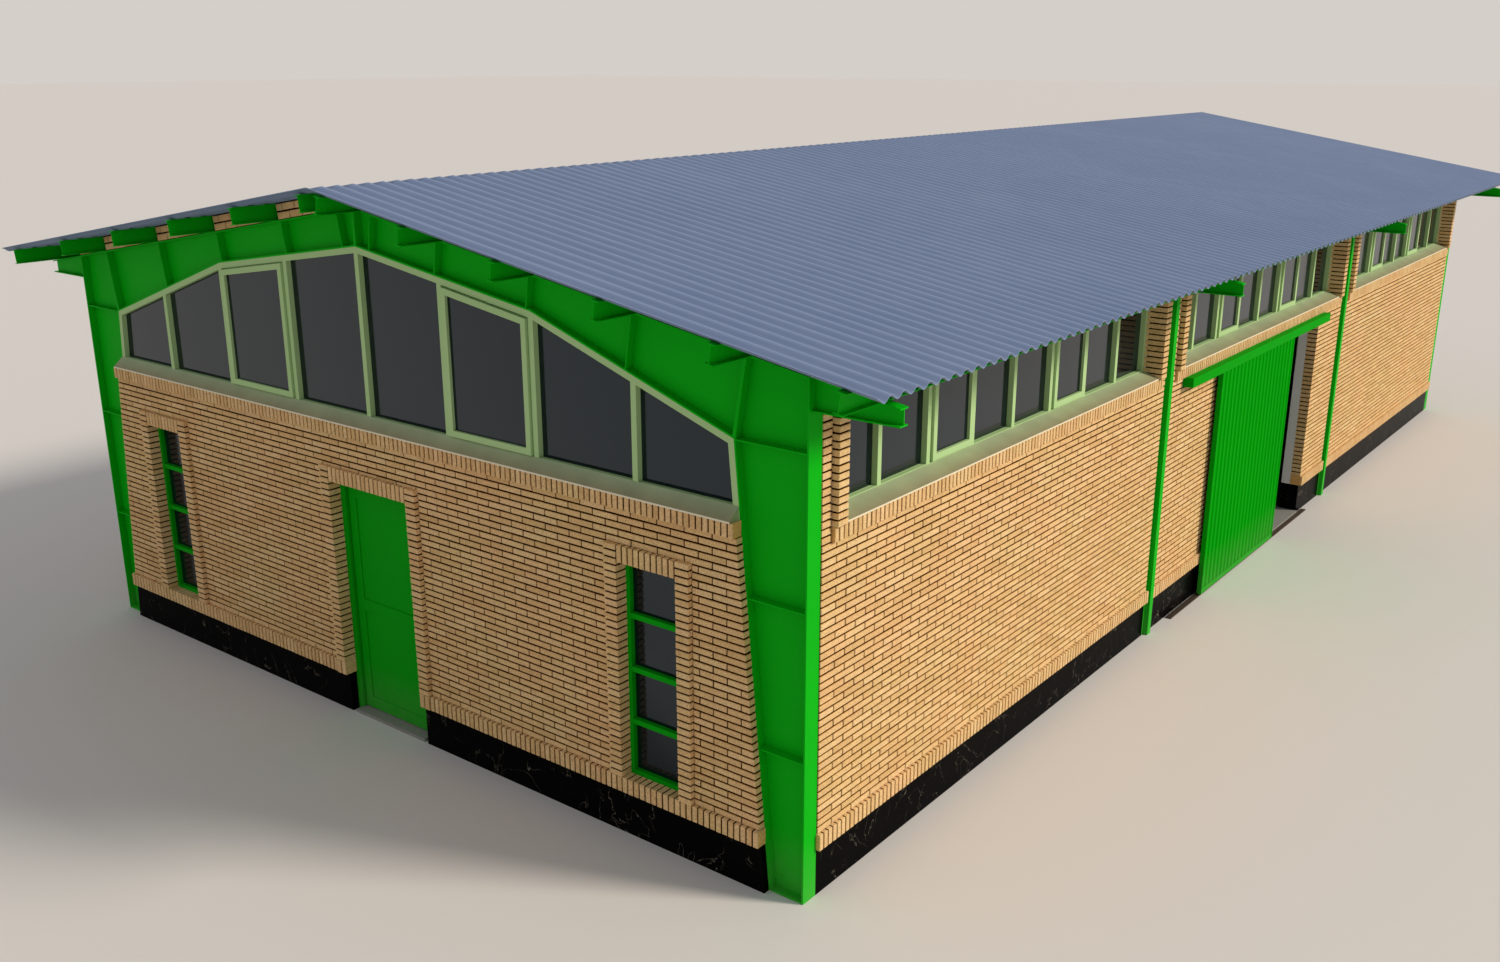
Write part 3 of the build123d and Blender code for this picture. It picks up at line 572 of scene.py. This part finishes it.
def gableBricks(name, angle, front):
    flat, ends, bands, jambs = [], [], [], []
    face = gable["face"] + brickwork["proud"]
    bandFace = face + gable["bandProud"]
    jambFace = face + gable["surroundProud"]
    joint = brickwork["joint"]
    lap = gable["overlap"]
    sideLap = gable["jambLap"]
    width = gable["surroundWidth"]
    centres = (-gable["windowX"], gable["windowX"])
    doorOut = gable["doorHalf"] + width + sideLap
    windowOut = gable["windowHalf"] + width + sideLap
    baseFoot = brickwork["bandFoot"] - brickwork["footLap"]
    baseTop = brickwork["firstCourse"] + brickwork["topLap"]
    for number in range(brickwork["courses"]):
        foot = brickwork["firstCourse"] + courseHeight * number
        middle = foot + courseHeight / 2
        wide = columnEdge(foot) + lap + joint / 2
        gaps = []
        if front and middle < gable["doorTop"]:
            gaps.append((-doorOut, doorOut))
        if front and middle < gable["windowTop"]:
            gaps += [(centre - windowOut, centre + windowOut) for centre in centres]
        for low, high in cutSpans(-wide, wide, gaps):
            for start, end in layCourse(low, high, number):
                atEnd = start <= -wide or end >= wide
                addBrick(ends if atEnd else flat, angle, face, (start + end) / 2, middle,
                         end - start - joint, courseHeight - brickwork["bed"])
    gaps = []
    if front:
        half = gable["windowHalf"] + joint / 2
        gaps = [(-doorOut - joint, doorOut + joint)] + [(x - half, x + half) for x in centres]
    upperFoot = brickwork["lastCourse"] - brickwork["footLap"]
    for foot, top, holes in ((baseFoot, baseTop, gaps), (upperFoot, brickwork["bandTop"] + lap, [])):
        wide = columnEdge(foot) + lap
        for low, high in cutSpans(-wide, wide, holes):
            layEdgeRow(bands, angle, bandFace, foot, top, low, high,
                       lowEnd=gable["bandEndShare"] if low == -wide else 0.0,
                       highEnd=gable["bandEndShare"] if high == wide else 0.0)
    if front:
        openings = [(0.0, gable["doorHalf"], gable["doorHead"], gable["doorTop"], gable["doorCourses"],
                     gable["doorJambShare"])]
        for centre in centres:
            openings.append((centre, gable["windowHalf"], gable["windowHead"], gable["windowTop"],
                             gable["windowCourses"], 1.0))
            layEdgeRow(jambs, angle, bandFace, baseFoot, baseTop, centre - gable["windowHalf"] + joint / 2,
                       centre + gable["windowHalf"] - joint / 2, gable["sillShare"])
        for centre, half, head, top, count, stretch in openings:
            for sign in (-1, 1):
                edges = sorted((centre + sign * (half - sideLap), centre + sign * (half + width + sideLap)))
                layStack(jambs, angle, jambFace, *edges, brickwork["firstCourse"],
                         top + brickwork["bed"] / 2 + lap, count, stretch)
                if centre == 0.0:
                    layEdgeRow(jambs, angle, jambFace, baseFoot, baseTop, *edges, stretch)
            layEdgeRow(jambs, angle, jambFace, head - sideLap, top + lap, centre - half + sideLap + joint,
                       centre + half - sideLap - joint, stretch)
        makeBrickwork(name + "_surround_bricks", jambs, width + sideLap * 2, brickwork["height"],
                      gable["jambDepth"], brickwork["surroundBedShade"])
    makeBrickwork(name + "_bricks", flat, brickwork["length"], brickwork["height"], brickwork["flatDepth"])
    makeBrickwork(name + "_end_bricks", ends, brickwork["length"], brickwork["height"], gable["endDepth"])
    makeBrickwork(name + "_band_bricks", bands, brickwork["bandHeight"], brickwork["height"],
                  gable["bandDepth"], brickwork["bandBedShade"])


gableBricks("front", 0.0, True)
gableBricks("rear", pi, False)

side = {
    "face": 4.5, "bandProud": 0.027, "surroundProud": 0.052, "bays": (-6.0, 0.0, 6.0), "bayHalf": 2.925,
    "windowHalf": 2.7, "stripWidth": 0.105, "head": 3.65, "underSheet": 3.938, "stripCourses": 22,
    "pierCourses": 23, "headCourses": 5, "overlap": 0.003, "stripLap": 0.008, "bandDepth": 0.036,
    "gateEndShare": 4.05, "stripDepth": 0.192, "jambDepth": 0.12,
    "gateNear": -0.3, "gateFar": 2.0, "gateHead": 2.48,
    "trackNear": -2.58, "trackFar": 2.08, "trackFoot": 2.545,
}


def sideBricks(name, angle, gateSide):
    flat, bands, strips, jambs = [], [], [], []
    face = side["face"] + brickwork["proud"]
    bandFace = face + side["bandProud"]
    stripFace = face + side["surroundProud"]
    joint = brickwork["joint"]
    lap = side["overlap"]
    sideLap = side["stripLap"]
    inner = side["windowHalf"]
    outer = inner + side["stripWidth"]
    baseFoot = brickwork["bandFoot"] - brickwork["footLap"]
    baseTop = brickwork["firstCourse"] + brickwork["topLap"]
    upperFoot = brickwork["lastCourse"] - brickwork["footLap"]
    for bay in side["bays"]:
        gateBay = gateSide and bay == 0.0
        near = bay - side["bayHalf"]
        far = bay + side["bayHalf"]
        for number in range(brickwork["courses"]):
            foot = brickwork["firstCourse"] + courseHeight * number
            middle = foot + courseHeight / 2
            gaps = []
            if gateBay and middle < side["gateHead"]:
                gaps.append((side["gateNear"] + lap + joint / 2, side["gateFar"] - lap - joint / 2))
            if gateBay and foot + courseHeight > side["trackFoot"]:
                gaps.append((side["trackNear"], side["trackFar"]))
            for low, high in cutSpans(near, far, gaps):
                for start, end in layCourse(low, high, number):
                    beside = gaps and gaps[0][0] <= end and start <= gaps[0][1]
                    atGate = beside and middle < side["gateHead"]
                    addBrick(jambs if atGate else flat, angle, face, (start + end) / 2, middle,
                             end - start - joint, courseHeight - brickwork["bed"])
        gaps = [(side["gateNear"] + lap, side["gateFar"] - lap)] if gateBay else []
        for low, high in cutSpans(near - lap, far + lap, gaps):
            layEdgeRow(bands, angle, bandFace, baseFoot, baseTop, low, high,
                       lowEnd=side["gateEndShare"] if low > near else 0.0,
                       highEnd=side["gateEndShare"] if high < far else 0.0)
        layEdgeRow(bands, angle, bandFace, upperFoot, brickwork["bandTop"] + lap, bay - outer - lap,
                   bay + outer + lap)
        for sign in (-1, 1):
            edges = sorted((bay + sign * (inner - sideLap), bay + sign * (outer + sideLap)))
            layStack(strips, angle, stripFace, *edges, brickwork["bandTop"], side["underSheet"],
                     side["stripCourses"])
            edges = sorted((bay + sign * (outer + sideLap + joint), bay + sign * side["bayHalf"]))
            layStack(flat, angle, face, *edges, brickwork["lastCourse"], side["underSheet"],
                     side["pierCourses"])
        rise = (side["underSheet"] - side["head"]) / side["headCourses"]
        for number in range(side["headCourses"]):
            for start, end in layCourse(bay - inner, bay + inner, number):
                addBrick(flat, angle, face, (start + end) / 2, side["head"] + rise * (number + 0.5),
                         end - start - joint, rise - brickwork["bed"])
    if gateSide:
        makeBrickwork("gate_jamb_bricks", jambs, brickwork["length"], brickwork["height"],
                      side["jambDepth"])
    makeBrickwork(name + "_bricks", flat, brickwork["length"], brickwork["height"], brickwork["flatDepth"])
    makeBrickwork(name + "_band_bricks", bands, brickwork["bandHeight"], brickwork["height"],
                  side["bandDepth"], brickwork["bandBedShade"])
    makeBrickwork(name + "_strip_bricks", strips, side["stripWidth"] + sideLap * 2, brickwork["height"],
                  side["stripDepth"])


sideBricks("right", pi / 2, True)
sideBricks("left", -pi / 2, False)

roofSlope = {"share": 0.1693, "halfWidth": 4.5, "eaveZ": 3.81, "purlinHeight": 0.14, "purlinHalf": 0.0365}
slopeCos = 1 / sqrt(1 + roofSlope["share"] ** 2)
slopeSin = roofSlope["share"] * slopeCos


def roofLine(x):
    return roofSlope["eaveZ"] + roofSlope["share"] * (roofSlope["halfWidth"] - x)


# Brick fills over the gable rafters, two courses that follow the slope
verge = {"face": 9.065, "purlins": (0.1, 1.06, 2.045, 3.03, 4.015), "end": 4.5, "courses": 2,
         "length": 0.2, "height": 0.06}


def vergeBricks():
    points = []
    face = verge["face"] + brickwork["proud"]
    rise = roofSlope["purlinHeight"] / verge["courses"]
    starts = [x / slopeCos + roofSlope["purlinHalf"] for x in verge["purlins"]]
    stops = [x / slopeCos - roofSlope["purlinHalf"] for x in verge["purlins"][1:]]
    stops.append(verge["end"] / slopeCos)
    for start, stop in zip(starts, stops):
        for course in range(verge["courses"]):
            count = round((stop - start) / verge["length"])
            step = (stop - start) / count
            marks = [start] + [start + step * (n + 0.5 * course) for n in range(1 - course, count)] + [stop]
            for a, b in zip(marks, marks[1:]):
                s = (a + b) / 2
                up = rise * (course + 0.5)
                x = s * slopeCos + up * slopeSin
                z = roofLine(0.0) - s * slopeSin + up * slopeCos
                for sign in (-1, 1):
                    for angle, end in ((0.0, 1), (pi, -1)):
                        lean = sign * end * atan(roofSlope["share"])
                        addBrick(points, angle, face, sign * end * x, z, b - a - brickwork["joint"],
                                 rise - brickwork["bed"], lean)
    makeBrickwork("verge_bricks", points, verge["length"], verge["height"], brickwork["flatDepth"])


vergeBricks()


# Corrugated sheet: a grid bent by a cosine along the building and dropped along the slope
sheetGrid = {"across": 8, "weld": 0.0002}


def sheetTree():
    tree, given = startTree("corrugatedSheet", (
        ("Half span", "Float"), ("Length", "Float"), ("Waves", "Int"), ("Steps", "Int"),
        ("Wave height", "Float"), ("Sharpness", "Float"), ("Thickness", "Float"), ("Slope", "Float"),
        ("Ridge x", "Float"), ("Ridge z", "Float"), ("Side", "Float"), ("Turn", "Vector"),
        ("Place", "Vector"), ("Material", "Material")))
    count = addNode(tree, "ShaderNodeMath", {0: given["Waves"], 1: given["Steps"]}, operation="MULTIPLY")
    columns = addNode(tree, "ShaderNodeMath", {0: count, 1: 1.0}, operation="ADD")
    grid = addNode(tree, "GeometryNodeMeshGrid",
                   {"Size X": given["Half span"], "Size Y": given["Length"],
                    "Vertices X": sheetGrid["across"], "Vertices Y": columns})
    spot = addNode(tree, "ShaderNodeSeparateXYZ", {0: addNode(tree, "GeometryNodeInputPosition")})
    halfSpan = addNode(tree, "ShaderNodeMath", {0: given["Half span"], 1: 2.0}, operation="DIVIDE")
    middle = addNode(tree, "ShaderNodeMath", {0: halfSpan, 1: given["Ridge x"]}, operation="ADD")
    shift = addNode(tree, "ShaderNodeMath", {0: middle, 1: given["Side"]}, operation="MULTIPLY")
    fromEnd = addNode(tree, "ShaderNodeMath", {0: spot.outputs["Y"], 1: given["Length"]},
                      operation="DIVIDE")
    turns = addNode(tree, "ShaderNodeMath", {0: fromEnd, 1: 0.5}, operation="ADD")
    waves = addNode(tree, "ShaderNodeMath", {0: turns, 1: given["Waves"]}, operation="MULTIPLY")
    angle = addNode(tree, "ShaderNodeMath", {0: waves, 1: 2 * pi}, operation="MULTIPLY")
    wave = addNode(tree, "ShaderNodeMath", {0: angle}, operation="COSINE")
    lift = addNode(tree, "ShaderNodeMath", {0: wave, 1: 0.5, 2: 0.5}, operation="MULTIPLY_ADD")
    crest = addNode(tree, "ShaderNodeMath", {0: lift, 1: given["Sharpness"]}, operation="POWER")
    height = addNode(tree, "ShaderNodeMath", {0: crest, 1: given["Wave height"], 2: given["Ridge z"]},
                     operation="MULTIPLY_ADD")
    out = addNode(tree, "ShaderNodeMath", {0: spot.outputs["X"], 1: given["Side"]}, operation="MULTIPLY")
    fromRidge = addNode(tree, "ShaderNodeMath", {0: out, 1: halfSpan}, operation="ADD")
    drop = addNode(tree, "ShaderNodeMath", {0: fromRidge, 1: given["Slope"]}, operation="MULTIPLY")
    z = addNode(tree, "ShaderNodeMath", {0: height, 1: drop}, operation="SUBTRACT")
    offset = addNode(tree, "ShaderNodeCombineXYZ", {"X": shift, "Z": z})
    lower = addNode(tree, "GeometryNodeSetPosition", {"Geometry": grid, "Offset": offset})
    thick = addNode(tree, "ShaderNodeCombineXYZ", {"Z": given["Thickness"]})
    upper = addNode(tree, "GeometryNodeExtrudeMesh",
                    {"Mesh": lower, "Offset": thick, "Offset Scale": 1.0, "Individual": False})
    under = addNode(tree, "GeometryNodeFlipFaces", {"Mesh": lower})
    joined = addNode(tree, "GeometryNodeJoinGeometry", {0: upper})
    setInputs(tree, joined, {0: under})
    closed = addNode(tree, "GeometryNodeMergeByDistance",
                     {"Geometry": joined, "Distance": sheetGrid["weld"]})
    smooth = addNode(tree, "GeometryNodeSetShadeSmooth", {"Geometry": closed})
    moved = addNode(tree, "GeometryNodeTransform",
                    {"Geometry": smooth, "Translation": given["Place"], "Rotation": given["Turn"]})
    endTree(tree, moved, given["Material"])
    return tree


# Each end is cut on a crest, over the ends of the purlins
roofSheet = {"waves": 129, "steps": 12, "waveHeight": 0.036, "sharpness": 1.0, "thickness": 0.006,
             "endReach": 0.046, "sharpAngle": 50.0}
wavyTree = sheetTree()


def roofSheets():
    for name, sign in (("left", -1.0), ("right", 1.0)):
        low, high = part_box(name + "_roof_sheet")
        ridgeX = min(abs(low.x), abs(high.x))
        rise = (roofSheet["waveHeight"] + roofSheet["thickness"]) / slopeCos
        mesh = bpy.data.meshes.new(name + "_corrugated_sheet")
        piece = growPiece(name + "_corrugated_sheet", mesh, wavyTree, {
            "Half span": high.x - low.x, "Length": high.y - low.y + roofSheet["endReach"] * 2,
            "Waves": roofSheet["waves"], "Steps": roofSheet["steps"],
            "Wave height": roofSheet["waveHeight"] / slopeCos, "Sharpness": roofSheet["sharpness"],
            "Thickness": roofSheet["thickness"] / slopeCos, "Slope": roofSlope["share"],
            "Ridge x": ridgeX, "Ridge z": high.z - rise, "Side": sign, "Material": sheetPaint})
        piece.data.set_sharp_from_angle(angle=radians(roofSheet["sharpAngle"]))
        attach(piece, "building")
        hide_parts(name + "_roof_sheet")
    print("roof sheets made")


roofSheets()


def makeBoxes(name, boxes, bevel, material, bevelSteps=2):
    form = bmesh.new()
    for low, high in boxes:
        for vert in bmesh.ops.create_cube(form, size=1.0)["verts"]:
            vert.co = [a + (b - a) * (c + 0.5) for a, b, c in zip(low, high, vert.co)]
    mesh = bpy.data.meshes.new(name)
    form.to_mesh(mesh)
    form.free()
    mesh.materials.append(material)
    piece = bpy.data.objects.new(name, mesh)
    scene.collection.objects.link(piece)
    edge = piece.modifiers.new("edge", "BEVEL")
    edge.width = bevel
    edge.segments = bevelSteps
    settle(piece)
    return piece


# Sliding gate: a folded sheet with fine ribs in a welded frame of flat bars
gateLook = {"ribs": 20, "steps": 28, "ribHeight": 0.016, "ribSharpness": 8.0, "thickness": 0.003,
            "sharpAngle": 50.0, "stile": 0.014, "footRail": 0.06, "headRail": 0.05, "midRail": 0.05,
            "setback": 0.006, "bevel": 0.002, "gap": 0.0005}


def gateLeaf(look):
    low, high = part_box("gate_leaf")
    near, far = low.y + look["stile"] + look["gap"], high.y - look["stile"] - look["gap"]
    back = high.x - look["ribHeight"] - look["thickness"]
    foot = low.z + look["footRail"]
    middle = (low.z + high.z) / 2
    boxes = [
        (low, (high.x, low.y + look["stile"], high.z)),
        ((low.x, high.y - look["stile"], low.z), high),
        ((low.x, near, low.z), (high.x - look["setback"], far, foot)),
        ((low.x, near, middle), (back - look["gap"], far, middle + look["midRail"])),
        ((low.x, near, high.z - look["headRail"]), (back - look["gap"], far, high.z)),
    ]
    bars = makeBoxes("gate_bars", boxes, look["bevel"], gatePaint)
    mesh = bpy.data.meshes.new("gate_ribbed_sheet")
    sheet = growPiece("gate_ribbed_sheet", mesh, wavyTree, {
        "Half span": high.z - foot, "Length": far - near, "Waves": look["ribs"], "Steps": look["steps"],
        "Wave height": look["ribHeight"], "Sharpness": look["ribSharpness"], "Thickness": look["thickness"],
        "Slope": 0.0, "Ridge x": 0.0, "Ridge z": 0.0, "Side": 1.0, "Turn": (0.0, pi / 2, 0.0),
        "Place": (back, (near + far) / 2, high.z), "Material": gatePaint})
    sheet.data.set_sharp_from_angle(angle=radians(look["sharpAngle"]))
    for piece in (bars, sheet):
        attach(piece, "gate")
        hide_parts("gate_leaf")
    print("gate leaf made")


gateLeaf(gateLook)

# Plates that close the ends of the gate's track
capLook = {"thickness": 0.004, "bevel": 0.001, "wallGap": 0.002}


def trackCaps(look):
    low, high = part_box("gate_track")
    back = low.x + look["wallGap"]
    caps = makeBoxes("gate_track_caps", [
        ((back, low.y - look["thickness"], low.z), (high.x, low.y, high.z)),
        ((back, high.y, low.z), (high.x, high.y + look["thickness"], high.z)),
    ], look["bevel"], gatePaint)
    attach(caps, "building")
    print("track caps made")


trackCaps(capLook)

# Flange plates on the frames between the bays, which stand proud of the brick
flangeLook = {"frames": (-3.0, 3.0), "face": 4.5, "proud": 0.048, "half": 0.04, "foot": 0.0, "top": 3.575,
              "bevel": 0.002}


def flangePlates(look):
    boxes = []
    for sign in (-1, 1):
        xs = sorted((sign * look["face"], sign * (look["face"] + look["proud"])))
        for y in look["frames"]:
            boxes.append(((xs[0], y - look["half"], look["foot"]), (xs[1], y + look["half"], look["top"])))
    plates = makeBoxes("flange_plates", boxes, look["bevel"], steel)
    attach(plates, "building")
    print("flange plates made")


flangePlates(flangeLook)

# Camera at the photograph's place, pale floor, one soft key from the gate side and even light all round
stage = {
    "eye": (9.359, -15.956, 5.730), "azimuth": 37.766, "elevation": 17.147, "lens": 33.08, "sensor": 36.0,
    "clipEnd": 2000.0, "floorColour": "#DAD5CF", "floorHalf": 300.0, "floorZ": -0.001, "roughness": 0.9,
    "backdrop": "#D5CFC9", "worldColour": "#F4F7FF", "worldStrength": 0.46, "keyStrength": 2.9,
    "keyAngle": 12.0, "keyFrom": (0.8, 0.42, 0.56), "keyColour": "#FFF6EA",
}


def setStage(plan):
    camera = bpy.data.objects.new("camera", bpy.data.cameras.new("camera"))
    scene.collection.objects.link(camera)
    camera.location = plan["eye"]
    camera.rotation_euler = (radians(90 - plan["elevation"]), 0.0, radians(plan["azimuth"]))
    camera.data.lens = plan["lens"]
    camera.data.sensor_fit = "HORIZONTAL"
    camera.data.sensor_width = plan["sensor"]
    camera.data.clip_end = plan["clipEnd"]
    scene.camera = camera

    half, z = plan["floorHalf"], plan["floorZ"]
    mesh = bpy.data.meshes.new("pale_floor")
    mesh.from_pydata([(-half, -half, z), (half, -half, z), (half, half, z), (-half, half, z)], [],
                     [(0, 1, 2, 3)])
    paleFloor = bpy.data.objects.new("pale_floor", mesh)
    scene.collection.objects.link(paleFloor)
    material, tree, shader, place = startMaterial("paleFloor", plan)
    setInputs(tree, shader, {"Base Color": linear(plan["floorColour"])})
    mesh.materials.append(material)

    lamp = bpy.data.lights.new("soft_key", "SUN")
    lamp.energy = plan["keyStrength"]
    lamp.angle = radians(plan["keyAngle"])
    lamp.color = linear(plan["keyColour"])[:3]
    key = bpy.data.objects.new("soft_key", lamp)
    scene.collection.objects.link(key)
    key.rotation_euler = (-Vector(plan["keyFrom"])).to_track_quat("-Z", "Y").to_euler()

    world = bpy.data.worlds.new("pale_studio")
    world.use_nodes = True
    scene.world = world
    tree = world.node_tree
    tree.nodes.clear()
    light = addNode(tree, "ShaderNodeBackground",
                    {"Strength": plan["worldStrength"], "Color": linear(plan["worldColour"])})
    view = addNode(tree, "ShaderNodeBackground", {"Strength": 1.0, "Color": linear(plan["backdrop"])})
    rays = addNode(tree, "ShaderNodeLightPath").outputs
    seen = rays["Is Camera Ray"]
    for kind in ("Is Glossy Ray", "Is Transmission Ray"):
        seen = addNode(tree, "ShaderNodeMath", {0: seen, 1: rays[kind]}, operation="MAXIMUM")
    mixed = addNode(tree, "ShaderNodeMixShader", {0: seen, 1: light, 2: view})
    addNode(tree, "ShaderNodeOutputWorld", {0: mixed})
    scene.view_settings.view_transform = "Standard"
    print("stage set")


setStage(stage)
